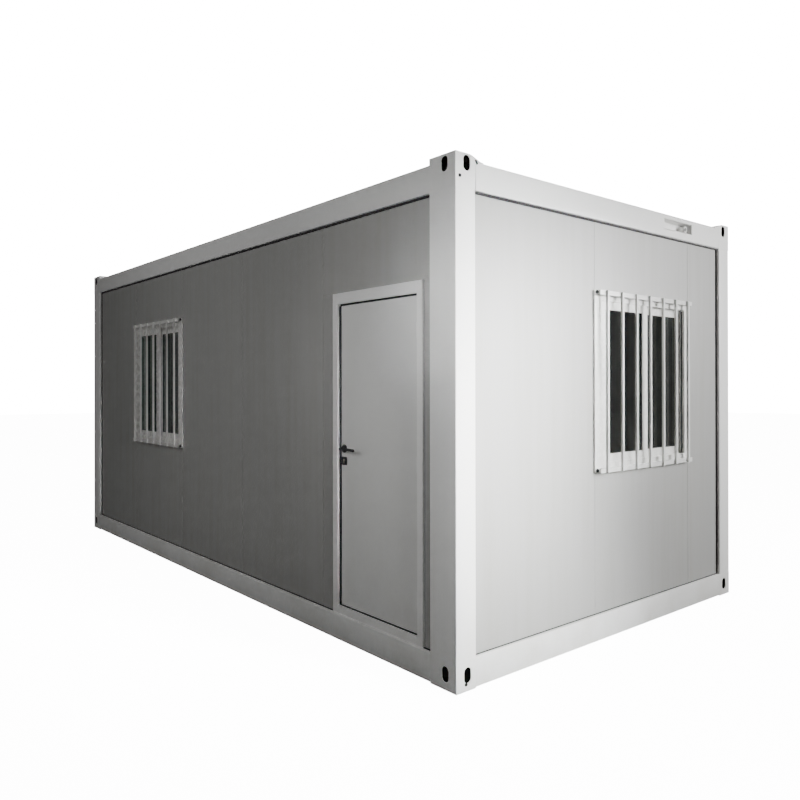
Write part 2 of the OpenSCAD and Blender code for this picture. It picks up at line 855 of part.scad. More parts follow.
door_lock_plates();
door_lever();
on_side(FRONT) window_frame(window_x);  // front_window_frame
on_side(FRONT) window_sashes(window_x);  // front_window_sashes
on_side(FRONT) window_glass(window_x);  // front_window_glass
on_side(FRONT) window_bars(window_x);  // front_window_bars
on_side(RIGHT) window_frame(end_window_offset);  // right_window_frame
on_side(RIGHT) window_sashes(end_window_offset);  // right_window_sashes
on_side(RIGHT) window_glass(end_window_offset);  // right_window_glass
on_side(RIGHT) window_bars(end_window_offset);  // right_window_bars
power_inlet();
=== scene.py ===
# %% [markdown]
# # A container house, from bare solids to a finished picture
# The solids of this house come from a CAD program, so every beam, panel and pane
# already stands where it belongs. What is left is the look. We load the solids
# first. Nothing that is added later may make the house bigger.

# %% Load the frame
import math

import bpy
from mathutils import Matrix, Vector


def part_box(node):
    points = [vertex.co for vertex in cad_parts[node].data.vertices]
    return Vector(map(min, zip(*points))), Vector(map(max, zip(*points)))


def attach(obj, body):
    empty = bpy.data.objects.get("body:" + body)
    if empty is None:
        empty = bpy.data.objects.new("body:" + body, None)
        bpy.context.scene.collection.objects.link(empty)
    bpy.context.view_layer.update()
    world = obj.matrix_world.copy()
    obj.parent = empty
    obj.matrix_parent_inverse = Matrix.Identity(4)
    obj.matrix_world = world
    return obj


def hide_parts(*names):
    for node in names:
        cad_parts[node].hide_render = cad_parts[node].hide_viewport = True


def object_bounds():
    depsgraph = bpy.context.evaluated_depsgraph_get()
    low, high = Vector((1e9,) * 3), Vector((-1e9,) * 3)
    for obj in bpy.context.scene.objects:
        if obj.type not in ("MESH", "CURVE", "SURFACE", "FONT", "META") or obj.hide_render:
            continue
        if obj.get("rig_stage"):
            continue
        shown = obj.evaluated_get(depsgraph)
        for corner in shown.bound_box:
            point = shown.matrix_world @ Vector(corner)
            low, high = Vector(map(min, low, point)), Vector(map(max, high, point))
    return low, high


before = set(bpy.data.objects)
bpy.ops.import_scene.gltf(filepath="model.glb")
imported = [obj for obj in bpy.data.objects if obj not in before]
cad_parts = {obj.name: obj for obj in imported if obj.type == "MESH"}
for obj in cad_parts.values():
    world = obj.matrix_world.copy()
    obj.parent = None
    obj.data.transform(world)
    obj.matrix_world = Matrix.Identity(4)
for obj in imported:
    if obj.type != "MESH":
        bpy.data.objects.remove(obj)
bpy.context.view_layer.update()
MM = 0.001

# %% [markdown]
# ## Camera
# The house is seen from just off its near corner, at eye height, with the long
# side running away to the left. A 33 mm lens gives the strong perspective of a
# picture taken close by, and the nearly level camera keeps the columns upright.

# %% Place the camera
camera_data = bpy.data.cameras.new("eye_level_camera")
camera_data.lens = 33.04
camera_data.shift_x, camera_data.shift_y = -0.0068, -0.0221
camera_data.clip_end = 200
camera = bpy.data.objects.new("eye_level_camera", camera_data)
bpy.context.scene.collection.objects.link(camera)
camera.location = (5.842, -4.201, 1.651)
camera.rotation_euler = [math.radians(a) for a in (90.15, 0.09, 50.05)]
bpy.context.scene.camera = camera
print("camera at", [round(v, 2) for v in camera.location])

# %% [markdown]
# ## Helpers for modelling
# Modelling commands act on whatever is selected. These helpers keep
# that tidy: one deselects all, one takes hold of a piece, and one opens it in edit
# mode with just the faces or edges that a small test picks out. Two more extrude
# what is picked and leave edit mode again.

# %% Select pieces, faces and edges
def let_go():
    if bpy.context.mode != "OBJECT":
        bpy.ops.object.mode_set(mode="OBJECT")
    bpy.ops.object.select_all(action="DESELECT")


def hold(piece):
    let_go()
    piece.select_set(True)
    bpy.context.view_layer.objects.active = piece
    return piece


def grab(piece, kind, test):
    """Open a piece in edit mode with the faces (centre, normal) or edges (a, b) that pass."""
    hold(piece)
    mesh = piece.data
    bpy.context.tool_settings.mesh_select_mode = (False, kind == "EDGE", kind == "FACE")
    for group in (mesh.vertices, mesh.edges, mesh.polygons):
        group.foreach_set("select", [False] * len(group))
    points = [v.co.copy() for v in mesh.vertices]
    if kind == "FACE":
        picked = [f for f in mesh.polygons if test(f.center, f.normal)]
    else:
        picked = [e for e in mesh.edges if test(*(points[i] for i in e.vertices))]
    for element in picked:
        element.select = True
    bpy.ops.object.mode_set(mode="EDIT")


def any_face(centre, normal):
    return True


def front_face(centre, normal):
    return normal.y < -0.9


def extrude(x, y, z):
    bpy.ops.mesh.extrude_region_move(TRANSFORM_OT_translate={"value": (x, y, z)})


def close(outward=False):
    """Leave edit mode; outward first turns all faces to look out of their shell."""
    if outward:
        bpy.ops.mesh.select_all(action="SELECT")
        bpy.ops.mesh.normals_make_consistent(inside=False)
    bpy.ops.object.mode_set(mode="OBJECT")


print("helpers ready")

# %% [markdown]
# ## Helpers for finishes
# Colours are written as sRGB hex values, as on a paint chart, and one function
# turns them into the linear numbers that a shader needs. A second function adds
# any node with its inputs: plain values, hex colours, other nodes (meaning their
# first output) or single outputs. Two more start a material and close it with a
# Principled shader. In a Mix node set to colours, sockets 6 and 7 are the two
# colours and output 2 is the result.

# %% Colours, nodes and materials
def hex_colour(code):
    parts = [int(code[i:i + 2], 16) / 255 for i in (1, 3, 5)]
    return [p / 12.92 if p <= 0.04045 else ((p + 0.055) / 1.055) ** 2.4 for p in parts] + [1.0]


def add(tree, kind, inputs=None, **settings):
    """Add one node; an input is a value, a hex colour, a node or a node's output."""
    node = tree.nodes.new("ShaderNode" + kind)
    for name, value in settings.items():
        setattr(node, name, value)
    for socket, value in (inputs or {}).items():
        if isinstance(value, bpy.types.Node):
            value = value.outputs[0]
        if isinstance(value, bpy.types.NodeSocket):
            tree.links.new(value, node.inputs[socket])
        else:
            plain = hex_colour(value) if isinstance(value, str) else value
            node.inputs[socket].default_value = plain
    return node


def start_finish(name):
    material = bpy.data.materials.new(name)
    material.use_nodes = True
    tree = material.node_tree
    tree.nodes.clear()
    print("made", name)
    return material, tree, add(tree, "TexCoord").outputs["Object"]


def close_finish(tree, inputs):
    shader = add(tree, "BsdfPrincipled", inputs)
    add(tree, "OutputMaterial", {"Surface": shader})


print("white in linear light:", [round(v, 3) for v in hex_colour("#F0F0EE")])

# %% [markdown]
# ## White powder coat on the frame
# The steel of the frame is sprayed with polyester powder and baked. That leaves a
# satin white with a faint orange peel, a little duller where dust has settled low
# down. The peel is really about 3 mm across; it is drawn at 12 mm so that it
# shows. Powder coat is a plastic film, so its IOR is 1.5 and it isn't metallic.

# %% Make the powder coat
def powder_coat(name, colour, dusty, roughness, peel):
    """peel is the size of the orange peel."""
    material, tree, place = start_finish(name)
    height = add(tree, "SeparateXYZ", {"Vector": place}).outputs["Z"]
    cloud = add(tree, "TexNoise", {"Vector": place, "Scale": 2.2, "Detail": 6.0,
                                   "Roughness": 0.62})
    low = add(tree, "MapRange", {"Value": height, "From Max": 0.45,
                                 "To Min": 0.75, "To Max": 0.12})
    grime = add(tree, "MapRange", {"Value": cloud, "From Min": 0.42, "From Max": 0.8})
    share = add(tree, "Math", {0: low, 1: grime}, operation="MULTIPLY")
    tint = add(tree, "Mix", {"Factor": share, 6: colour, 7: dusty}, data_type="RGBA").outputs[2]
    gloss = add(tree, "MapRange", {"Value": cloud, "From Min": 0.3, "From Max": 0.7,
                                   "To Min": roughness - 0.05, "To Max": roughness + 0.07})
    fine = add(tree, "TexNoise", {"Vector": place, "Scale": 1 / peel, "Detail": 1.0})
    bump = add(tree, "Bump", {"Height": fine, "Strength": 0.35, "Distance": 0.2 * MM})
    close_finish(tree, {"IOR": 1.5, "Base Color": tint, "Roughness": gloss, "Normal": bump})
    return material


frame_paint = powder_coat("white_powder_coat", "#FAFAF8", "#D4D1C8", 0.42, 12 * MM)
door_paint = powder_coat("door_powder_coat", "#E9E9E7", "#CFCCC4", 0.40, 9 * MM)

# %% [markdown]
# ## Coil-coated panel skin
# The walls are sandwich panels: thin steel skins, painted in the coil, rolled flat
# and bonded to foam, in a smooth light grey. The skin is never quite flat, so broad
# soft waves move through its reflections, and the rolls leave faint upright lines
# about 50 mm apart. A little dust hangs in upright streaks.

# %% Make the coil coat
ROLL_PITCH = 50 * MM
panel_skin, tree, place = start_finish("coil_coated_grey_skin")
apart = add(tree, "SeparateXYZ", {"Vector": place}).outputs
wide = add(tree, "Mapping", {"Vector": place, "Scale": (1.0, 1.0, 0.35)})
waves = add(tree, "TexNoise", {"Vector": wide, "Scale": 1.1, "Detail": 1.0})
long = add(tree, "Mapping", {"Vector": place, "Scale": (9.0, 9.0, 0.5)})
streaks = add(tree, "TexNoise", {"Vector": long, "Scale": 1.6, "Detail": 5.0})
share = add(tree, "MapRange", {"Value": streaks, "From Min": 0.45, "From Max": 0.85,
                               "To Max": 0.5})
tint = add(tree, "Mix", {"Factor": share, 6: "#AEAEAC", 7: "#A3A19B"},
           data_type="RGBA").outputs[2]
gloss = add(tree, "MapRange", {"Value": streaks, "From Min": 0.3, "From Max": 0.7,
                               "To Min": 0.36, "To Max": 0.46})
run = add(tree, "Math", {0: apart["X"], 1: apart["Y"]}, operation="ADD")
turn = add(tree, "Math", {0: run, 1: 2 * math.pi / ROLL_PITCH}, operation="MULTIPLY")
rolled = add(tree, "Math", {0: turn}, operation="SINE")
lines = add(tree, "Bump", {"Height": rolled, "Strength": 0.25, "Distance": 0.2 * MM})
bump = add(tree, "Bump", {"Height": waves, "Strength": 0.5, "Distance": 12 * MM,
                          "Normal": lines})
close_finish(tree, {"IOR": 1.5, "Base Color": tint, "Roughness": gloss, "Normal": bump})

# %% [markdown]
# ## Coated roof sheet
# The roof is the same steel in a lighter grey. Nobody washes a roof, so dust dries
# on it in rings and streaks along the ribs and makes it rougher than the walls.

# %% Make the roof coat
roof_coat, tree, place = start_finish("coated_roof_sheet")
along = add(tree, "Mapping", {"Vector": place, "Scale": (0.6, 4.0, 1.0)})
dust = add(tree, "TexNoise", {"Vector": along, "Scale": 2.0, "Detail": 8.0,
                              "Roughness": 0.6})
rings = add(tree, "TexNoise", {"Vector": place, "Scale": 5.0, "Detail": 3.0,
                               "Distortion": 1.5})
both = add(tree, "Math", {0: dust, 1: rings}, operation="MULTIPLY")
share = add(tree, "MapRange", {"Value": both, "From Min": 0.18, "From Max": 0.42,
                               "To Max": 0.8})
tint = add(tree, "Mix", {"Factor": share, 6: "#D6D7D6", 7: "#B2ADA2"},
           data_type="RGBA").outputs[2]
dull = add(tree, "MapRange", {"Value": both, "From Min": 0.18, "From Max": 0.42,
                              "To Min": 0.42, "To Max": 0.75})
close_finish(tree, {"IOR": 1.5, "Base Color": tint, "Roughness": dull})

# %% [markdown]
# ## Gloss white enamel on the window bars
# The grilles are welded square tube in a gloss coat, brighter and shinier than the
# frame, that pulls into slight runs along the tubes. Its recipe serves for more
# finishes to come: one soft noise shifts colour and roughness together, and may
# also raise a slight relief.

# %% Make the enamel
def mottled(name, colours, noise, constants, gloss=None, span=(0, 1), relief=None, grain=None):
    """noise gives scale, detail and stretch; relief is a strength and a depth."""
    material, tree, place = start_finish(name)
    scale, detail, stretch = noise
    if stretch:
        where = add(tree, "Mapping", {"Vector": place, "Scale": stretch})
    else:
        where = place
    cloud = add(tree, "TexNoise", {"Vector": where, "Scale": scale, "Detail": detail})
    tint = add(tree, "Mix", {"Factor": cloud, 6: colours[0], 7: colours[1]},
               data_type="RGBA").outputs[2]
    inputs = {"Base Color": tint, **constants}
    if gloss:
        inputs["Roughness"] = add(tree, "MapRange", {
            "Value": cloud, "From Min": span[0], "From Max": span[1],
            "To Min": gloss[0], "To Max": gloss[1]})
    if grain:
        cloud = add(tree, "TexNoise", {"Vector": place, "Scale": 1 / grain, "Detail": 1.0})
    if relief:
        inputs["Normal"] = add(tree, "Bump", {"Height": cloud, "Strength": relief[0],
                                              "Distance": relief[1]})
    close_finish(tree, inputs)
    return material


bar_paint = mottled("gloss_white_enamel", ("#F4F4F2", "#E6E6E2"), (1.0, 2.0, (60.0, 60.0, 6.0)),
                    {"IOR": 1.52, "Coat Weight": 0.4, "Coat Roughness": 0.08},
                    gloss=(0.16, 0.32), relief=(0.3, 0.4 * MM))

# %% [markdown]
# ## Black coated castings
# The door handle, the lock plates and the small caps are zinc castings with a
# fine-textured black coat: satin, with a grain of half a millimetre and smoother
# patches where fingers polish it.

# %% Make the black casting
black_metal = mottled("black_textured_casting", ("#17181A", "#26282A"), (30.0, 4.0, None),
                      {"IOR": 1.5}, gloss=(0.32, 0.5), span=(0.3, 0.7),
                      relief=(0.3, 0.1 * MM), grain=0.5 * MM)

# %% [markdown]
# ## Hot-dip galvanised steel
# Joists, purlins, the underfloor sheet and the screws are galvanised. Zinc sets in
# flat crystals, the spangle, 8 to 15 mm across. A Voronoi pattern gives the
# crystals, and its cell colours shift tone and roughness from one to the next.

# %% Make the galvanised steel
SPANGLE = 12 * MM
galvanised, tree, place = start_finish("galvanised_steel")
cells = add(tree, "TexVoronoi", {"Vector": place, "Scale": 1 / SPANGLE})
tone = add(tree, "SeparateColor", {"Color": cells.outputs["Color"]})
tint = add(tree, "Mix", {"Factor": tone, 6: "#A9AFB2", 7: "#C9CDCF"},
           data_type="RGBA").outputs[2]
gloss = add(tree, "MapRange", {"Value": tone, "To Min": 0.34, "To Max": 0.58})
close_finish(tree, {"Metallic": 1.0, "Base Color": tint, "Roughness": gloss})

# %% [markdown]
# ## Floor boards and sheet vinyl
# The floor is plywood, with its plies showing at the edges as thin light and dark
# layers, under sheet vinyl. Such vinyl is pressed from coloured chips 2 to 6 mm
# across, so it is pale grey with darker flecks.

# %% Make the plywood
PLY = 4 * MM
plywood, tree, place = start_finish("plywood_board")
fibre = add(tree, "Mapping", {"Vector": place, "Scale": (1.5, 60.0, 1.0)})
grain = add(tree, "TexNoise", {"Vector": fibre, "Scale": 2.0, "Detail": 7.0,
                               "Distortion": 0.6})
face = add(tree, "Mix", {"Factor": grain, 6: "#C8A878", 7: "#A88355"},
           data_type="RGBA").outputs[2]
level = add(tree, "SeparateXYZ", {"Vector": place}).outputs["Z"]
plies = add(tree, "Math", {0: level, 1: 2 * math.pi / PLY}, operation="MULTIPLY")
band = add(tree, "Math", {0: plies}, operation="SINE")
edge = add(tree, "MapRange", {"Value": band, "From Min": -0.2, "From Max": 0.2,
                              "To Max": 0.45})
tint = add(tree, "Mix", {"Factor": edge, 6: face, 7: "#8A6B45"}, data_type="RGBA").outputs[2]
dull = add(tree, "MapRange", {"Value": grain, "To Min": 0.55, "To Max": 0.75})
close_finish(tree, {"IOR": 1.5, "Base Color": tint, "Roughness": dull})

# %% Make the vinyl
CHIP = 5 * MM
vinyl, tree, place = start_finish("flecked_sheet_vinyl")
chips = add(tree, "TexVoronoi", {"Vector": place, "Scale": 1 / CHIP})
shade = add(tree, "SeparateColor", {"Color": chips.outputs["Color"]}).outputs["Green"]
fleck = add(tree, "MapRange", {"Value": shade, "From Min": 0.55, "From Max": 0.95,
                               "To Max": 0.6})
tint = add(tree, "Mix", {"Factor": fleck, 6: "#B4B6B5", 7: "#8C8F90"},
           data_type="RGBA").outputs[2]
scuff = add(tree, "TexNoise", {"Vector": place, "Scale": 3.0, "Detail": 5.0})
gloss = add(tree, "MapRange", {"Value": scuff, "From Min": 0.3, "From Max": 0.7,
                               "To Min": 0.3, "To Max": 0.48})
close_finish(tree, {"IOR": 1.54, "Base Color": tint, "Roughness": gloss})

# %% [markdown]
# ## Seals, window plastic and glass
# Seals and gaskets are black EPDM, a matt rubber with a greyish bloom. The windows
# are uPVC, a clean glossy white. The panes are float glass with a slight
# grey-green tint; lamps shine through them by a transparent shader, which spares
# slow caustics. A thin veil of dust greys the panes in strong light.

# %% Make the rubber and the window plastic
rubber = mottled("epdm_rubber", ("#1B1B1B", "#343433"), (40.0, 3.0, None), {"IOR": 1.5},
                 gloss=(0.62, 0.85))
window_pvc = mottled("extruded_white_upvc", ("#F3F3F0", "#E8E8E4"), (25.0, 3.0, None),
                     {"IOR": 1.53}, gloss=(0.2, 0.34), relief=(0.15, 0.2 * MM))

# %% Make the glass
glass, tree, place = start_finish("float_glass")
smear = add(tree, "TexNoise", {"Vector": place, "Scale": 7.0, "Detail": 4.0})
film = add(tree, "MapRange", {"Value": smear, "From Min": 0.45, "From Max": 0.8,
                              "To Max": 0.06})
pane = add(tree, "BsdfPrincipled", {"IOR": 1.45, "Transmission Weight": 1.0,
                                    "Base Color": "#BFC8C6", "Roughness": film})
rays = add(tree, "LightPath").outputs["Is Shadow Ray"]
clear = add(tree, "BsdfTransparent", {"Color": "#9AA3A1"})
through = add(tree, "MixShader", {0: rays, 1: pane, 2: clear})
dust = add(tree, "BsdfDiffuse", {"Color": "#B9B7B0"})
veil = add(tree, "MapRange", {"Value": smear, "From Min": 0.3, "From Max": 0.7,
                              "To Min": 0.014, "To Max": 0.03})
dusty = add(tree, "MixShader", {0: veil, 1: through, 2: dust})
add(tree, "OutputMaterial", {"Surface": dusty})

# %% [markdown]
# ## Dressing the solids
# A solid from CAD has knife-sharp edges, which never catch the light as real ones
# do. So each solid that shows is copied, its loose triangles are merged into clean
# faces, and a narrow bevel rounds its edges. The copy then stands for the solid,
# which stays hidden behind it.

# %% A dressed copy of a solid
finishes = {"frame_paint": frame_paint, "panel_skin": panel_skin, "roof_coat": roof_coat,
            "door_paint": door_paint, "bar_paint": bar_paint, "black_metal": black_metal,
            "zinc": galvanised, "floor_board": plywood, "vinyl": vinyl, "rubber": rubber,
            "window_pvc": window_pvc, "glass": glass}
slot_of = {name: node.data.materials[0].name for name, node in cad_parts.items()}


def copy_solid(node):
    hold(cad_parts[node])
    bpy.ops.object.duplicate()
    piece = bpy.context.object
    piece.parent = None
    for key in [k for k in piece.keys() if k.startswith("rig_")]:
        del piece[key]
    hold(piece)
    bpy.ops.mesh.customdata_custom_splitnormals_clear()
    bpy.ops.object.mode_set(mode="EDIT")
    bpy.ops.mesh.select_all(action="SELECT")
    bpy.ops.mesh.remove_doubles(threshold=0.01 * MM)
    bpy.ops.mesh.dissolve_limited(angle_limit=math.radians(0.5))
    close()
    return piece


def round_edges(piece, width, segments=2, over=35.0):
    """Bevel the edges that turn by more than over degrees."""
    hold(piece)
    bpy.ops.object.shade_smooth()
    bevel = piece.modifiers.new("round_edges", "BEVEL")
    bevel.limit_method, bevel.angle_limit = "ANGLE", math.radians(over)
    bevel.width, bevel.segments, bevel.harden_normals = width, segments, True
    bpy.ops.object.modifier_apply(modifier=bevel.name)


def finish_piece(piece, name, slot, body="house", nodes=(), finish=None):
    """Bake the piece's place into its mesh, give it its finish and put it on its body."""
    hold(piece)
    bpy.ops.object.transform_apply()
    piece.name = piece.data.name = name
    piece.data.materials.clear()
    piece.data.materials.append(finish or finishes[slot])
    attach(piece, body)
    if nodes:
        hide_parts(*nodes)
    print(name, "has", len(piece.data.polygons), "faces and rides on", body)
    return piece


def dress(node, ending, width, segments=2, over=35.0, body="house"):
    """Round a copy of a solid and let it stand for that solid."""
    piece = copy_solid(node)
    round_edges(piece, width, segments, over)
    return finish_piece(piece, node + ending, slot_of[node], body, [node])


for name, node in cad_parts.items():
    node.data.materials[0] = finishes[slot_of[name]]
print("painted", len(slot_of), "solids from", len(finishes), "finishes")

# %% [markdown]
# ## Frame steel: beams and columns
# Each beam and column is folded from 4 mm plate. The long outer folds are picked
# out by their length and by lying in an outer face of the house, and get the 6 mm
# radius that a press brake leaves. All other edges are only broken by a
# millimetre. Where two members meet, the roundings form the fine dark line of a
# real joint.

# %% Dress the beams and columns
column_low, column_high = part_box("column_front_right")
outer_x, outer_y = column_high.x, -column_low.y
bay_x, bay_y = column_low.x, -column_high.y
FOLD_RADIUS, LONG_FOLD = 6 * MM, 1.0


def is_outer_fold(a, b):
    in_long_face = all(abs(abs(p.y) - outer_y) < 0.1 * MM for p in (a, b))
    in_end_face = all(abs(abs(p.x) - outer_x) < 0.1 * MM for p in (a, b))
    return (a - b).length > LONG_FOLD and (in_long_face or in_end_face)


steel = sorted(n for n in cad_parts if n.startswith(("bottom_beam", "top_beam", "column")))
for node in steel:
    piece = copy_solid(node)
    grab(piece, "EDGE", is_outer_fold)
    bpy.ops.mesh.bevel(offset=FOLD_RADIUS, segments=4, affect="EDGES", clamp_overlap=False)
    round_edges(piece, 1.2 * MM, over=50)
    finish_piece(piece, node + "_folded", "frame_paint", nodes=[node])
print("folded", len(steel), "members; long face at", outer_y, "end face at", outer_x)

# %% [markdown]
# ## Corner fittings
# The eight corners are heavy plate boxes with long slots, like the corner castings
# of a shipping container. Their edges are ground by hand before coating, so they
# get a 2 mm rounding all over. Their inner faces get a near-black matt finish,
# painted shade, so that the slots look into a dark box.

# %% Dress the fittings
# Near-black painted shade for the inner faces of the fittings.
dark_primer = mottled("dark_primer", ("#1C1B1A", "#33302D"), (18.0, 5.0, None),
                      {"IOR": 1.5, "Roughness": 0.8})
SHELL = 5.5 * MM

for node in ("bottom_corner_fittings", "top_corner_fittings"):
    piece = dress(node, "_ground", 2.2 * MM, segments=3, over=40)
    piece.data.materials.append(dark_primer)
    low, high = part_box(node)
    # Faces deep inside a fitting take the painted shade.
    inner = 0
    for face in piece.data.polygons:
        c = face.center
        inside = min(outer_x - abs(c.x), outer_y - abs(c.y), c.z - low.z, high.z - c.z)
        if inside > SHELL and abs(c.x) > bay_x + SHELL and abs(c.y) > bay_y + SHELL:
            face.material_index = 1
            inner += 1
    print(inner, "faces inside", node, "are dark")

# %% [markdown]
# ## Wall panels
# The skins of a panel are rolled over at their edges with a radius of about 2 mm,
# which makes each joint in the wall show as a thin groove.

# %% Dress the walls
walls = sorted(n for n, slot in slot_of.items() if slot == "panel_skin" and "wall" in n)
for node in walls:
    dress(node, "_rolled", 2.4 * MM, segments=3)

# %% [markdown]
# ## Sides of the house
# Many small parts repeat on several sides. Each is modelled facing the front, at
# the middle of the house, and is then turned to its side and moved out to its
# place. A quarter turn takes the front (-Y) to the right end (+X), and so on.

# %% Stand a piece against one side
QUARTERS = {"front": 0, "right": 1, "back": 2, "left": 3}


def stand(piece, side, along, out, up):
    """along runs to the right as seen from outside, out is how far from the middle, up is Z."""
    turn = QUARTERS[side] * math.pi / 2
    hold(piece)
    piece.rotation_euler = (0, 0, turn)
    piece.location = (along * math.cos(turn) + out * math.sin(turn),
                      along * math.sin(turn) - out * math.cos(turn), up)
    bpy.ops.object.transform_apply()
    return piece


def joined(pieces):
    hold(pieces[0])
    for piece in pieces:
        piece.select_set(True)
    bpy.ops.object.join()
    return bpy.context.object


def twin(piece):
    hold(piece)
    bpy.ops.object.duplicate()
    return bpy.context.object


print("sides:", ", ".join(QUARTERS))

# %% [markdown]
# ## Perimeter seals of the walls
# A black rubber section fills the corner where each wall meets the frame and gives
# the wall its thin dark outline. The ring is partly a real seal and partly painted
# shade: it stands in for the shadow under the beams and beside the columns. A
# rectangle of the wall's size is inset to leave a rim, the middle is deleted, the
# rim is extruded outwards and its free edge is rounded off.

# %% Make a rectangular ring
def edge_at(z):
    return lambda a, b: abs(a.z - z) < 0.01 * MM and abs(b.z - z) < 0.01 * MM


def flat_ring(wide, high, band, thick, low_band=None):
    """A rectangular rim facing the front, centred at the origin, thick towards -Y."""
    let_go()
    bpy.ops.mesh.primitive_plane_add(size=1, rotation=(math.pi / 2, 0, 0))
    ring = bpy.context.object
    ring.scale = (wide, high, 1)
    bpy.ops.object.transform_apply()
    grab(ring, "FACE", any_face)
    bpy.ops.mesh.inset(thickness=band, use_even_offset=True)
    bpy.ops.mesh.delete(type="FACE")
    if low_band is not None:
        grab(ring, "EDGE", edge_at(-high / 2 + band))
        bpy.ops.transform.translate(value=(0, 0, low_band - band))
    grab(ring, "FACE", any_face)
    extrude(0, -thick, 0)
    close(outward=True)
    return ring


# %% Seal the four walls
wall_low, wall_high = column_low.z, column_high.z
skin_y, skin_x = -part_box("front_wall_panels")[0].y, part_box("right_wall_panels")[1].x
SEAL_WIDE, SEAL_LOW, SEAL_DEEP = 12 * MM, 5 * MM, 8 * MM
for side, wide, out in (("front", bay_x, skin_y), ("right", bay_y, skin_x),
                        ("back", bay_x, skin_y), ("left", bay_y, skin_x)):
    # The black ring is partly a real rubber seal and partly painted shade under the beams and
    # beside the columns.
    seal = flat_ring(2 * wide, wall_high - wall_low, SEAL_WIDE, SEAL_DEEP, SEAL_LOW)
    round_edges(seal, 3 * MM, segments=3)
    stand(seal, side, 0, out, (wall_low + wall_high) / 2)
    finish_piece(seal, side + "_wall_seal", "rubber")

# %% [markdown]
# ## Door frame and leaf
# The frame is folded steel and the leaf is two steel skins round a foam core.
# Both keep their CAD shape and only get their folds rounded, as do the lock
# plates.

# %% Dress the door
dress("door_frame", "_finished", 2.0 * MM, segments=3)
dress("door_leaf", "_finished", 1.8 * MM, segments=3, body="door")
dress("door_lock_plates", "_finished", 1.5 * MM, segments=3, body="door")

# %% [markdown]
# ## Weather strips of the doorway
# Along the lock side a broad lip of rubber fills the gap between jamb and leaf, a
# thin one lies on the sill, and under the head of the frame runs a low bead of
# steel. All are long bars whose outer face is inset and pulled out to a lip.

# %% Draw a bar in to a lip
def lipped_bar(low, high, lip):
    """A bar between two corners, with a raised lip on the side that faces the front."""
    middle, size = (Vector(low) + Vector(high)) / 2, Vector(high) - Vector(low)
    let_go()
    bpy.ops.mesh.primitive_cube_add(size=1, location=middle)
    bar = bpy.context.object
    bar.scale = size
    bpy.ops.object.transform_apply()
    grab(bar, "FACE", front_face)
    bpy.ops.mesh.inset(thickness=min(size.x, size.z) * 0.25)
    bpy.ops.transform.translate(value=(0, -lip, 0))
    close()
    round_edges(bar, 0.6 * MM)
    return bar


# %% Run the three strips
leaf_low, leaf_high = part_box("door_leaf")
jamb_low, jamb_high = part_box("door_frame")
LOCK_GAP, HEAD_GAP, SILL_GAP = 17 * MM, 16 * MM, 6 * MM
LIP_WIDE, BEAD_HIGH, SILL_HIGH = 12 * MM, 5 * MM, 3.5 * MM
mouth_x, mouth_top, sill_z = leaf_low.x - LOCK_GAP, leaf_high.z + HEAD_GAP, leaf_low.z - SILL_GAP
strip_face = leaf_low.y - 6 * MM
lock_lip = lipped_bar((mouth_x, strip_face, leaf_low.z),
                      (mouth_x + LIP_WIDE, leaf_high.y, leaf_high.z), 1.5 * MM)
finish_piece(lock_lip, "door_lock_side_lip", "rubber")
head_bead = lipped_bar((mouth_x, jamb_low.y + 1 * MM, mouth_top - BEAD_HIGH),
                       (leaf_high.x + 10 * MM, leaf_low.y - 2 * MM, mouth_top), 0.8 * MM)
finish_piece(head_bead, "door_head_bead", "frame_paint")
sill_lip = lipped_bar((mouth_x, strip_face, sill_z),
                      (leaf_high.x, leaf_low.y + 8 * MM, sill_z + SILL_HIGH), 0.8 * MM)
finish_piece(sill_lip, "door_sill_lip", "rubber")
print("strips stand", round((LOCK_GAP - LIP_WIDE) / MM, 1), "mm off the leaf")

# %% [markdown]
# ## Door handles
# Each lever is one casting: a round neck comes out of the rose, bends through a
# quarter circle and runs on as a slightly flattened grip with a rounded end. The
# neck is a short cylinder, its end face is spun round a corner, and the face that
# comes out of the bend is extruded in steps.

# %% Model one lever
lever_low, lever_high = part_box("door_lever")
GRIP_RADIUS, NECK_RADIUS, BEND_RADIUS = 9 * MM, 8 * MM, 13 * MM
spindle_x, spindle_z = lever_low.x + GRIP_RADIUS, (lever_low.z + lever_high.z) / 2
arm_y = lever_low.y + GRIP_RADIUS
# Each step of the grip: share of its length, change of its depth and height, drop in mm
GRIP_STEPS = ((0.12, 0.92, 1.04, 0.0), (0.25, 0.9, 1.06, 0.2), (0.25, 0.95, 1.05, 0.5),
              (0.22, 1.0, 0.98, 0.6), (0.1, 0.96, 0.94, 0.4), (0.04, 0.82, 0.84, 0.1),
              (0.02, 0.6, 0.6, 0.0))


def lever_half():
    """The outer lever, growing out of the rose towards -Y and turning to +X."""
    let_go()
    neck_from, neck_to = leaf_low.y - 1 * MM, arm_y + BEND_RADIUS
    bpy.ops.mesh.primitive_cylinder_add(
        vertices=20, radius=NECK_RADIUS, depth=neck_from - neck_to,
        rotation=(math.pi / 2, 0, 0), location=(spindle_x, (neck_from + neck_to) / 2, spindle_z))
    lever = bpy.context.object
    bpy.ops.object.transform_apply()
    grab(lever, "FACE", front_face)
    x, z = spindle_x + BEND_RADIUS, spindle_z
    bpy.ops.mesh.spin(steps=8, angle=-math.pi / 2, axis=(0, 0, 1), center=(x, neck_to, z))
    reach = lever_high.x - 2 * MM - x
    for share, flat, tall, drop in GRIP_STEPS:
        extrude(share * reach, 0, -drop * MM)
        x, z = x + share * reach, z - drop * MM
        bpy.ops.transform.resize(value=(1, flat, tall), center_override=(x, arm_y, z))
    close(outward=True)
    return lever


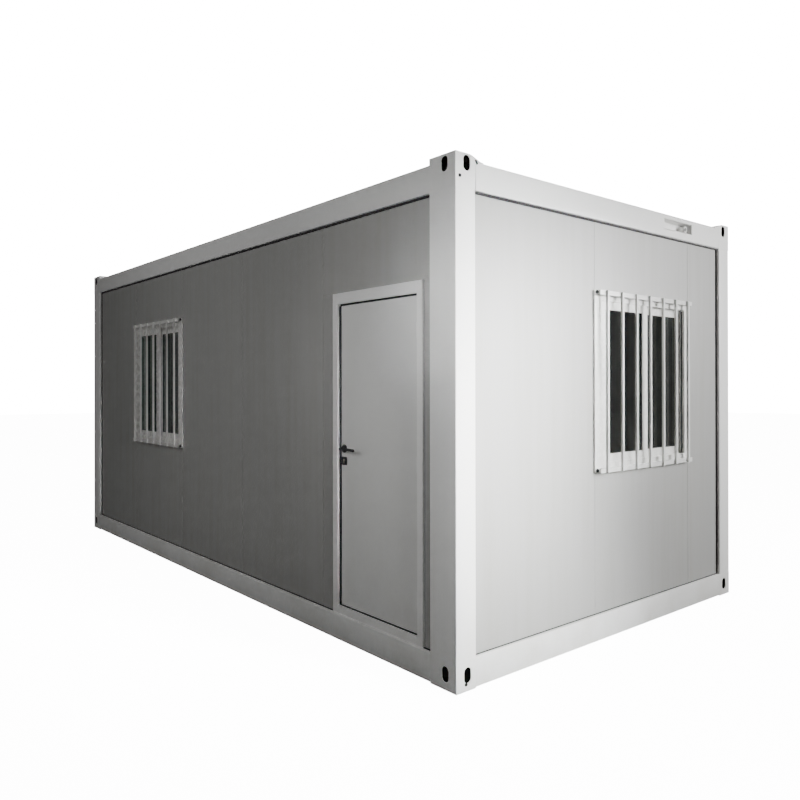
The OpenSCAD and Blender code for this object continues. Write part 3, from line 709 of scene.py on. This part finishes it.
# %% Mirror it to the inside and join the two
outer_lever = lever_half()
inner_lever = twin(outer_lever)
leaf_mid = (leaf_low.y + leaf_high.y) / 2
bpy.ops.transform.mirror(constraint_axis=(False, True, False), center_override=(0, leaf_mid, 0))
bpy.ops.object.transform_apply()
grab(inner_lever, "FACE", any_face)
close(outward=True)
levers = joined([outer_lever, inner_lever])
bpy.ops.object.shade_smooth_by_angle(angle=math.radians(40))
finish_piece(levers, "curved_door_levers", "black_metal", "lever", ["door_lever"])
print("levers span", [round(d / MM, 1) for d in levers.dimensions])

# %% [markdown]
# ## Lock: key cylinders, latch and strike
# Each lock plate holds a profile cylinder: a disc and a block are joined, and the
# keyway is the disc's own face, inset, squeezed to a slot and pushed in. The latch
# plate sits in the edge of the leaf, and its bolt has one slanted side. The strike
# plate on the jamb has a mouth for the bolt.

# %% Make the satin nickel
satin_nickel = mottled("satin_nickel_plate", ("#B9B4AA", "#D2CEC6"),
                       (1.0, 2.0, (40.0, 40.0, 900.0)), {"Metallic": 1.0}, gloss=(0.22, 0.42))


# %% Model the key cylinders
def block(wide, deep, high, at, rounding, segments=2):
    """A small bevelled block, the start of many fittings."""
    let_go()
    bpy.ops.mesh.primitive_cube_add(size=1, location=at)
    piece = bpy.context.object
    piece.scale = (wide, deep, high)
    bpy.ops.object.transform_apply()
    round_edges(piece, rounding, segments)
    return piece


def disc(radius, thick, at, rounding, corners=32):
    """A short cylinder whose round faces look along Y, with its rims rounded."""
    let_go()
    bpy.ops.mesh.primitive_cylinder_add(vertices=corners, radius=radius, depth=thick,
                                        rotation=(math.pi / 2, 0, 0), location=at)
    piece = bpy.context.object
    bpy.ops.object.transform_apply()
    round_edges(piece, rounding, 2)
    return piece


plate_low, plate_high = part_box("door_lock_plates")
plate_z = plate_low.z + 26 * MM
nose_z = plate_z + 6 * MM
cylinders = []
for outward, face in ((-1, plate_low.y + 2 * MM), (1, plate_high.y - 2 * MM)):
    nose = disc(8.5 * MM, 5 * MM, (spindle_x, face + outward * 0.5 * MM, nose_z), 0.8 * MM)
    tip = face + outward * 3 * MM
    grab(nose, "FACE", lambda c, n: n.y * outward > 0.9 and abs(c.y - tip) < 0.1 * MM)
    bpy.ops.mesh.inset(thickness=4.2 * MM)
    bpy.ops.transform.resize(value=(0.32, 1, 1.2), center_override=(spindle_x, tip, nose_z))
    extrude(0, -outward * 2.5 * MM, 0)
    close()
    stem = block(9 * MM, 4 * MM, 20 * MM, (spindle_x, face, plate_z - 7 * MM), 1.2 * MM)
    cylinders += [nose, stem]
finish_piece(joined(cylinders), "key_cylinders", "zinc", "door", finish=satin_nickel)

# %% Model the latch plate and its bolt
latch_z = spindle_z - 40 * MM
bolt_z = latch_z + 34 * MM
edge_x = leaf_low.x
plate = block(2 * MM, 22 * MM, 165 * MM, (edge_x - 0.4 * MM, leaf_mid, latch_z), 0.6 * MM)
bolt = block(9 * MM, 11 * MM, 16 * MM, (edge_x - 4 * MM, leaf_mid, bolt_z), 0.5 * MM)
grab(bolt, "FACE", lambda c, n: n.x < -0.9)
bpy.ops.transform.resize(value=(1, 0.45, 1),
                         center_override=(edge_x - 8 * MM, leaf_mid - 5.5 * MM, latch_z))
close()
screws = []
for z in (latch_z - 74 * MM, latch_z + 74 * MM):
    let_go()
    bpy.ops.mesh.primitive_uv_sphere_add(segments=16, ring_count=8, radius=4 * MM,
                                         location=(edge_x - 1.2 * MM, leaf_mid, z))
    bpy.context.object.scale = (0.3, 1, 1)
    bpy.ops.object.transform_apply()
    bpy.ops.object.shade_smooth()
    screws.append(bpy.context.object)
finish_piece(joined([plate, bolt] + screws), "latch_plate", "zinc", "door", finish=satin_nickel)

# %% Model the strike
strike_x = mouth_x + LIP_WIDE
strike = block(1.6 * MM, 24 * MM, 150 * MM, (strike_x + 0.6 * MM, leaf_mid, latch_z), 0.5 * MM)
grab(strike, "FACE", lambda c, n: n.x > 0.9)
bpy.ops.mesh.inset(thickness=5 * MM)
bpy.ops.transform.resize(value=(1, 1, 0.25), center_override=(strike_x, leaf_mid, bolt_z))
extrude(-1.1 * MM, 0, 0)
close()
finish_piece(strike, "strike_plate", "zinc", finish=satin_nickel)

# %% [markdown]
# ## Hinge caps
# The three lift-off hinges show on the outside as slim barrels. Each end is closed
# by a small domed cap, the flattened half of a sphere. The caps above turn with
# the leaf, the ones below stay with the frame.

# %% Dress the hinges
for node, body in (("door_hinge_barrels", "door"), ("door_hinge_pins", "house")):
    piece = copy_solid(node)
    bpy.ops.object.shade_smooth_by_angle(angle=math.radians(35))
    finish_piece(piece, node + "_finished", "frame_paint", body, [node])

# %% Cap the barrels
barrel_low, barrel_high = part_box("door_hinge_barrels")
barrel_r = (barrel_high.x - barrel_low.x) / 2
hinge_x, hinge_y = barrel_low.x + barrel_r, barrel_low.y + barrel_r
HINGE_INSET = 200 * MM
hinges = [leaf_low.z + HINGE_INSET, (leaf_low.z + leaf_high.z) / 2, leaf_high.z - HINGE_INSET]
for name, body, sign, shift in (("hinge_caps_upper", "door", 1, 45.6 * MM),
                                ("hinge_caps_lower", "house", -1, -45 * MM)):
    caps = []
    for z in [hinge + shift for hinge in hinges]:
        let_go()
        middle = (hinge_x, hinge_y, z)
        bpy.ops.mesh.primitive_uv_sphere_add(segments=24, ring_count=12,
                                             radius=barrel_r - 0.2 * MM, location=middle)
        cap = bpy.context.object
        bpy.ops.object.transform_apply()
        grab(cap, "FACE", lambda c, n: (c.z - z) * sign < 0)
        bpy.ops.mesh.delete(type="FACE")
        grab(cap, "EDGE", edge_at(z))
        bpy.ops.mesh.edge_face_add()
        bpy.ops.mesh.select_all(action="SELECT")
        bpy.ops.transform.resize(value=(1, 1, 0.5), center_override=middle)
        close()
        bpy.ops.object.shade_smooth_by_angle(angle=math.radians(40))
        caps.append(cap)
    finish_piece(joined(caps), name, "frame_paint", body)
print("hinges at", [round(z, 3) for z in hinges])

# %% [markdown]
# ## Windows
# The windows are two-track uPVC sliders. Frame and sashes keep their CAD shape,
# and each pane gets a black gasket round it, inside and outside. Brush seals stand
# in the side channels. A small catch sits where the two sashes meet, and two
# covers hide the drain slots in the bottom of each frame.

# %% Dress frames and sashes
for node in ("front_window_frame", "front_window_sashes", "right_window_frame",
             "right_window_sashes"):
    dress(node, "_extruded", 1.6 * MM)

# %% Measure the windows as seen from outside
windows = {}
for side, across in (("front", lambda p: (p.x, -p.y)), ("right", lambda p: (p.y, p.x))):
    low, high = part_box(f"{side}_window_frame")
    sash_low, sash_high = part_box(f"{side}_window_sashes")
    left, right = [across(p)[0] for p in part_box(f"{side}_wall_window_infill")]
    panes = sorted(across(p)[1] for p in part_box(f"{side}_window_glass"))
    windows[side] = {"left": left, "right": right, "middle": (left + right) / 2,
                     "low": low.z, "high": high.z, "face": max(across(low)[1], across(high)[1]),
                     "sash_left": across(sash_low)[0], "sash_right": across(sash_high)[0],
                     "sash_low": sash_low.z, "sash_high": sash_high.z,
                     "inner": panes[0], "outer": panes[1]}
    print(side, {k: round(v, 4) for k, v in windows[side].items()})

# %% Fit the glazing gaskets
SASH_BAR, PANE, GASKET, GASKET_DEEP = 63 * MM, 5 * MM, 5 * MM, 3.5 * MM
for side, w in windows.items():
    rings = []
    open_low, open_high = w["sash_low"] + SASH_BAR, w["sash_high"] - SASH_BAR
    sash_wide = (w["sash_right"] - w["sash_left"] + SASH_BAR) / 2
    for sash_left, outside, inside in (
            (w["sash_left"], w["outer"], w["outer"] - PANE),
            (w["sash_right"] - sash_wide, w["inner"] + PANE, w["inner"])):
        for out in (outside, inside - GASKET_DEEP):
            ring = flat_ring(sash_wide - 2 * SASH_BAR, open_high - open_low, GASKET, GASKET_DEEP)
            round_edges(ring, 1 * MM)
            stand(ring, side, sash_left + sash_wide / 2, out, (open_low + open_high) / 2)
            rings.append(ring)
    finish_piece(joined(rings), side + "_window_gaskets", "rubber")

# %% Stand the brush seals in the side channels
for side, w in windows.items():
    strips = []
    height = w["sash_high"] - w["sash_low"] - 30 * MM
    for along, out in ((w["sash_right"] + 0.3 * MM, w["face"] - 28 * MM),
                       (w["sash_left"] - 0.3 * MM, w["face"] - 42 * MM)):
        strip = block(3 * MM, 9 * MM, height, (0, 0, 0), 0.8 * MM)
        grab(strip, "FACE", front_face)
        bpy.ops.mesh.inset(thickness=0.6 * MM)
        bpy.ops.transform.translate(value=(0, 0.8 * MM, 0))
        strips.append(stand(strip, side, along, out, (w["sash_low"] + w["sash_high"]) / 2))
    finish_piece(joined(strips), side + "_window_brush_seals", "rubber")

# %% Add the drain covers and the catches
for side, w in windows.items():
    covers = []
    for shift in (-300 * MM, 300 * MM):
        cover = block(36 * MM, 5 * MM, 9 * MM, (0, 0, 0), 1.8 * MM, segments=3)
        covers.append(stand(cover, side, w["middle"] + shift, w["face"] + 1 * MM,
                            w["low"] + 14 * MM))
    finish_piece(joined(covers), side + "_window_drain_covers", "window_pvc")
    base = block(16 * MM, 6 * MM, 56 * MM, (0, 2 * MM, 0), 2 * MM, segments=3)
    knob = disc(9 * MM, 10 * MM, (0, 8 * MM, 6 * MM), 1.5 * MM)
    arm = block(8 * MM, 6 * MM, 36 * MM, (0, 12 * MM, -6 * MM), 2 * MM, segments=3)
    grab(arm, "FACE", lambda c, n: n.z < -0.9)
    bpy.ops.transform.resize(value=(1.5, 1, 1), center_override=(0, 12 * MM, -24 * MM))
    catch = stand(joined([base, knob, arm]), side, w["middle"], w["inner"] - 9.5 * MM,
                  (w["low"] + w["high"]) / 2)
    finish_piece(catch, side + "_window_catch", "window_pvc")

# %% [markdown]
# ## Window bars
# Seven square tubes stand in front of each window, welded to two flat rails. Each
# tube is tacked to each rail by a short weld on both sides: one bead is made by
# extruding a small ring in steps, wider and narrower by turns as the weld pool
# freezes, and is then copied to every crossing.

# %% Dress the bars
for side in windows:
    dress(side + "_window_bars", "_drawn", 1.8 * MM, segments=3, over=50)


# %% Model one weld bead
def weld_bead(length, radius):
    """A rippled bead standing on the origin along Z."""
    let_go()
    bpy.ops.mesh.primitive_circle_add(vertices=8, radius=radius * 0.5, fill_type="NGON",
                                      location=(0, 0, -length / 2))
    bead = bpy.context.object
    bpy.ops.object.transform_apply()
    ripples = max(4, round(length / (4 * MM)))
    grab(bead, "FACE", any_face)
    z, size = -length / 2, 0.5
    for i in range(ripples):
        goal = 0.6 if i == ripples - 1 else (1.0, 0.78)[i % 2]
        z += length / ripples
        extrude(0, 0, length / ripples)
        bpy.ops.transform.resize(value=(goal / size, goal / size, 1), center_override=(0, 0, z))
        size = goal
    close(outward=True)
    bpy.ops.object.shade_smooth()
    return bead


# %% Weld the bars to their rails
BAR_PITCH, BAR_HALF, BAR_COUNT = 166 * MM, 8 * MM, 7
RAIL_OUT, RAIL_SET_IN = 16 * MM, 15 * MM
for side, out in (("front", outer_y + RAIL_OUT), ("right", outer_x + RAIL_OUT)):
    w = windows[side]
    bead = weld_bead(26 * MM, 2.5 * MM)
    beads = []
    for row in (w["low"] + RAIL_SET_IN, w["high"] - RAIL_SET_IN):
        for i in range(BAR_COUNT):
            bar = w["middle"] + (i - (BAR_COUNT - 1) / 2) * BAR_PITCH
            for along in (bar - BAR_HALF - 0.5 * MM, bar + BAR_HALF + 0.5 * MM):
                beads.append(stand(twin(bead), side, along, out, row))
    hold(bead)
    bpy.ops.object.delete()
    finish_piece(joined(beads), side + "_window_bar_welds", "bar_paint")

# %% [markdown]
# ## Fixings of the grilles
# On the side nearest the corner each window shows a black domed cap at the top
# and at the bottom, over the bolts of the grille. A cap is a disc with a wide soft
# rounding on a thin washer.

# %% Place the caps
def domed_cap(radius, high):
    """A cap facing the front, on a washer, with its foot at the origin."""
    dome = disc(radius, high, (0, -high / 2, 0), high * 0.6, corners=28)
    washer = disc(radius * 1.15, 1.6 * MM, (0, -0.6 * MM, 0), 0.5 * MM, corners=28)
    return joined([dome, washer])


for side, w in windows.items():
    near = w["right"] - 8 * MM if side == "front" else w["left"] + 8 * MM
    caps = [stand(domed_cap(11.5 * MM, 11 * MM), side, near, w["face"], z)
            for z in (w["low"] + 16 * MM, w["high"] - 12 * MM)]
    finish_piece(joined(caps), side + "_window_bolt_caps", "black_metal")

# %% [markdown]
# ## Small marks on the corner fittings
# Near the front right corner the end face carries two dark bolt heads, one under
# the top slot and one by the foot, and the sloping shoulder of the top fitting
# has a slanted oval plug, a rounded block that is leaned over to follow it.

# %% Place the bolt heads and the plug
heads = [stand(domed_cap(9 * MM, 5 * MM), "right", y, outer_x, z)
         for y, z in ((-1463 * MM, 2767 * MM), (-1423 * MM, 40 * MM))]
finish_piece(joined(heads), "corner_bolt_heads", "black_metal")

plug = block(12 * MM, 6 * MM, 28 * MM, (0, 0, 0), 2.4 * MM, segments=3)
hold(plug)
bpy.ops.transform.rotate(value=math.radians(32), orient_axis="Y", center_override=(0, 0, 0))
bpy.ops.object.transform_apply()
stand(plug, "right", -outer_y + 158 * MM, outer_x + 0.5 * MM, 2861 * MM)
finish_piece(plug, "shoulder_plug", "black_metal")

# %% [markdown]
# ## Power socket
# Near the top of the end wall is a shallow recess with a round power socket in it.
# Down in the collar sits a black insert with three contact pins.

# %% Dress the recess
recess = copy_solid("power_inlet")
round_edges(recess, 0.7 * MM, over=40)
finish_piece(recess, "power_recess", "frame_paint", nodes=["power_inlet"])

# %% Add the insert and the contacts
inlet_low, inlet_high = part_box("power_inlet")
insert_x, socket_y = inlet_low.x + 8 * MM, inlet_high.y - 48 * MM
socket_z = (inlet_low.z + inlet_high.z) / 2
insert = disc(16.6 * MM, 8 * MM, (0, 0, 0), 1 * MM)
grab(insert, "FACE", front_face)
bpy.ops.mesh.inset(thickness=3 * MM)
extrude(0, 3 * MM, 0)
close()
stand(insert, "right", socket_y, insert_x, socket_z)
finish_piece(insert, "socket_insert", "black_metal")
CONTACT_RING = 9 * MM
pins = []
for turn in [math.radians(a) for a in (90, 210, 330)]:
    pin = disc(2.6 * MM, 18 * MM, (CONTACT_RING * math.cos(turn), -9 * MM,
                                   CONTACT_RING * math.sin(turn)), 1.6 * MM, corners=16)
    pins.append(stand(pin, "right", 0, 0, 0))
pins = joined(pins)
bpy.ops.transform.translate(value=(insert_x, socket_y, socket_z))
finish_piece(pins, "socket_pins", "zinc", finish=satin_nickel)

# %% [markdown]
# ## Roof screws
# Screws through the tops of its ribs hold the roof sheet to the purlins, each with
# a small head on a wide washer. One screw is modelled and two arrays repeat it
# along the ribs and across them.

# %% Model one screw
let_go()
bpy.ops.mesh.primitive_cylinder_add(vertices=12, radius=8 * MM, depth=1.6 * MM,
                                    location=(0, 0, 0.8 * MM))
screw = bpy.context.object
bpy.ops.object.transform_apply()
grab(screw, "FACE", lambda c, n: n.z > 0.9)
bpy.ops.mesh.inset(thickness=3.6 * MM)
extrude(0, 0, 4.2 * MM)
bpy.ops.mesh.inset(thickness=0.8 * MM)
bpy.ops.transform.translate(value=(0, 0, 0.5 * MM))
close()
print("a screw has", len(screw.data.polygons), "faces")

# %% Repeat it over the roof
roof_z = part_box("roof_sheet")[1].z
purlin_low, purlin_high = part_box("roof_purlins")
RIB_PITCH, PURLINS, PURLIN_WIDE, RIM = 200 * MM, 9, 40 * MM, 60 * MM
ribs = 2 * math.floor((bay_y - RIM) / RIB_PITCH) + 1
purlin_step = (purlin_high.x - purlin_low.x - PURLIN_WIDE) / (PURLINS - 1)
screw.location = (purlin_low.x + PURLIN_WIDE / 2, -(ribs - 1) / 2 * RIB_PITCH, roof_z)
bpy.ops.object.transform_apply()
for count, step in ((PURLINS, (purlin_step, 0, 0)), (ribs, (0, RIB_PITCH, 0))):
    repeat = screw.modifiers.new("repeat", "ARRAY")
    repeat.count, repeat.use_relative_offset, repeat.use_constant_offset = count, False, True
    repeat.constant_offset_displace = step
    bpy.ops.object.modifier_apply(modifier=repeat.name)
finish_piece(screw, "roof_screws", "zinc")
print(PURLINS * ribs, "screws on", ribs, "ribs")

# %% [markdown]
# ## Trims inside
# Inside, the joint of wall and floor is hidden by a plastic skirting and the
# joint of wall and ceiling by a small cove. Each length is a block whose upper or
# lower face is made thinner, and the skirting stops short of the door frame.

# %% Shape a moulding
def trim(side, start, end, out, low, high, deep, lean):
    """A moulding against the inner skin; lean > 0 thins its top, lean < 0 its foot."""
    strip = block(end - start, deep, high - low, (0, 0, 0), 1.5 * MM)
    grab(strip, "FACE", lambda c, n: n.z * math.copysign(1, lean) > 0.9)
    bpy.ops.transform.resize(value=(1, 1 - abs(lean), 1), center_override=(0, -deep / 2, 0))
    return stand(strip, side, (start + end) / 2, out - deep / 2 - 0.3 * MM, (low + high) / 2)


# %% Run the skirting and the cove round the room
CORE = 150 * MM
room_x, room_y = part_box("right_wall_panels")[0].x, -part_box("front_wall_panels")[1].y
floor_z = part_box("floor_covering")[1].z
core_x, end_y = outer_x - CORE, room_y - 8 * MM
runs = [("back", -core_x, core_x, room_y), ("left", -end_y, end_y, room_x),
        ("right", -end_y, end_y, room_x)]
door_runs = [("front", -core_x, jamb_low.x - 4 * MM, room_y),
             ("front", jamb_high.x + 4 * MM, core_x, room_y)]
skirting = [trim(*run, floor_z, floor_z + 68 * MM, 12 * MM, 0.5) for run in runs + door_runs]
finish_piece(joined(skirting), "skirting", "window_pvc")
cove = [trim(*run, wall_high - 26 * MM, wall_high + 3 * MM, 22 * MM, -0.7)
        for run in runs + [("front", -core_x, core_x, room_y)]]
finish_piece(joined(cove), "cove", "window_pvc")

# %% [markdown]
# ## Studio floor and background
# The house stands on a plain pale floor under a plain white sky. To the camera
# both are nearly pure white. To all other rays the floor is a middling grey cloth
# and the sky is almost black, so next to no light comes from below or behind and
# the shaded sides keep their depth.

# %% Build the floor
let_go()
bpy.ops.mesh.primitive_circle_add(vertices=96, radius=40.0, fill_type="NGON",
                                  location=(0, 0, -1 * MM))
floor = bpy.context.object
floor.name = "studio_floor"
floor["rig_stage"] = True
pale_floor, tree, place = start_finish("pale_studio_floor")
lacquer = add(tree, "BsdfPrincipled", {"Roughness": 0.8, "Base Color": "#E8E8E6"})
glow = add(tree, "Emission", {"Color": "#FFFFFF", "Strength": 14.0})
cloth = add(tree, "BsdfDiffuse", {"Color": "#616161"})
seen = add(tree, "LightPath").outputs["Is Camera Ray"]
lifted = add(tree, "AddShader", {0: lacquer, 1: glow})
look = add(tree, "MixShader", {0: seen, 1: cloth, 2: lifted})
add(tree, "OutputMaterial", {"Surface": look})
floor.data.materials.append(pale_floor)
print("floor", floor.name)

# %% Build the sky
world = bpy.data.worlds.new("studio_air")
bpy.context.scene.world = world
world.use_nodes = True
tree = world.node_tree
tree.nodes.clear()
seen = add(tree, "LightPath").outputs["Is Camera Ray"]
level = add(tree, "MapRange", {"Value": seen, "To Min": 0.005, "To Max": 18.0})
air = add(tree, "Background", {"Color": "#FFFFFF", "Strength": level})
add(tree, "OutputWorld", {"Surface": air})
print("sky", world.name)

# %% [markdown]
# ## Lights
# Square soft boxes light the house, unseen by the camera. The main one stands
# beyond the end wall, a little towards the back, so that wall is bright and its
# reveals throw soft shadows. The long side gets one gentle light from high in
# front, which leaves it a soft grey. Weak boxes and narrow beams lift the foot and
# the lower half of the end wall, the near corner and the far end of the long side.
# The last two light what the camera doesn't see from here: the back and the roof.

# %% Hang the soft boxes
def soft_box(name, place, aim, side, power, spread=180):
    """side is the edge of the square in metres; a small spread in degrees makes a beam."""
    lamp = bpy.data.lights.new(name, "AREA")
    lamp.shape, lamp.size, lamp.energy = "SQUARE", side, power
    lamp.spread = math.radians(spread)
    thing = bpy.data.objects.new(name, lamp)
    bpy.context.scene.collection.objects.link(thing)
    thing.location = place
    thing.rotation_euler = (Vector(aim) - Vector(place)).to_track_quat("-Z", "Y").to_euler()
    thing.visible_camera = False


near_corner = (3.0, -1.3, 1.4)
soft_box("end_light", (7.0, 4.0, 3.0), near_corner, 1.6, 395)
soft_box("high_beam", (9.0, 0.5, 4.0), near_corner, 1.2, 59, spread=25)
soft_box("low_beam", (8.0, 3.0, 2.5), near_corner, 1.2, 26, spread=50)
soft_box("long_side_light", (0.0, -6.0, 4.0), (2.0, -1.5, 1.3), 1.8, 62)
soft_box("grazing_beam", (12.0, -2.5, 3.0), near_corner, 1.2, 5, spread=15)
soft_box("corner_beam", (1.0, -6.0, 3.0), (3.0, -1.5, 1.8), 1.2, 3.5, spread=40)
soft_box("column_beam", (3.4, -6.0, 2.4), (2.95, -1.5, 2.1), 0.4, 0.9, spread=16)
soft_box("far_left_light", (-4.0, -6.0, 2.0), (-1.0, -1.5, 0.8), 1.5, 12)
soft_box("side_fill", (9.0, -5.0, 2.5), near_corner, 1.2, 24)
soft_box("foot_beam", (6.5, 1.5, 0.2), (3.0, -0.5, 0.05), 0.5, 4, spread=28)
soft_box("back_light", (-7.0, 7.0, 5.0), (-1.0, 0.5, 1.4), 2.5, 500)
soft_box("roof_light", (-0.5, 0.6, 7.5), (-0.5, 0.3, 2.8), 3.0, 160, spread=55)

# %% [markdown]
# ## Check the size
# Nothing that was added may reach past the box that the CAD solids fill, so both
# boxes are written down to be compared.

# %% Measure the box of the shown pieces
low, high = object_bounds()
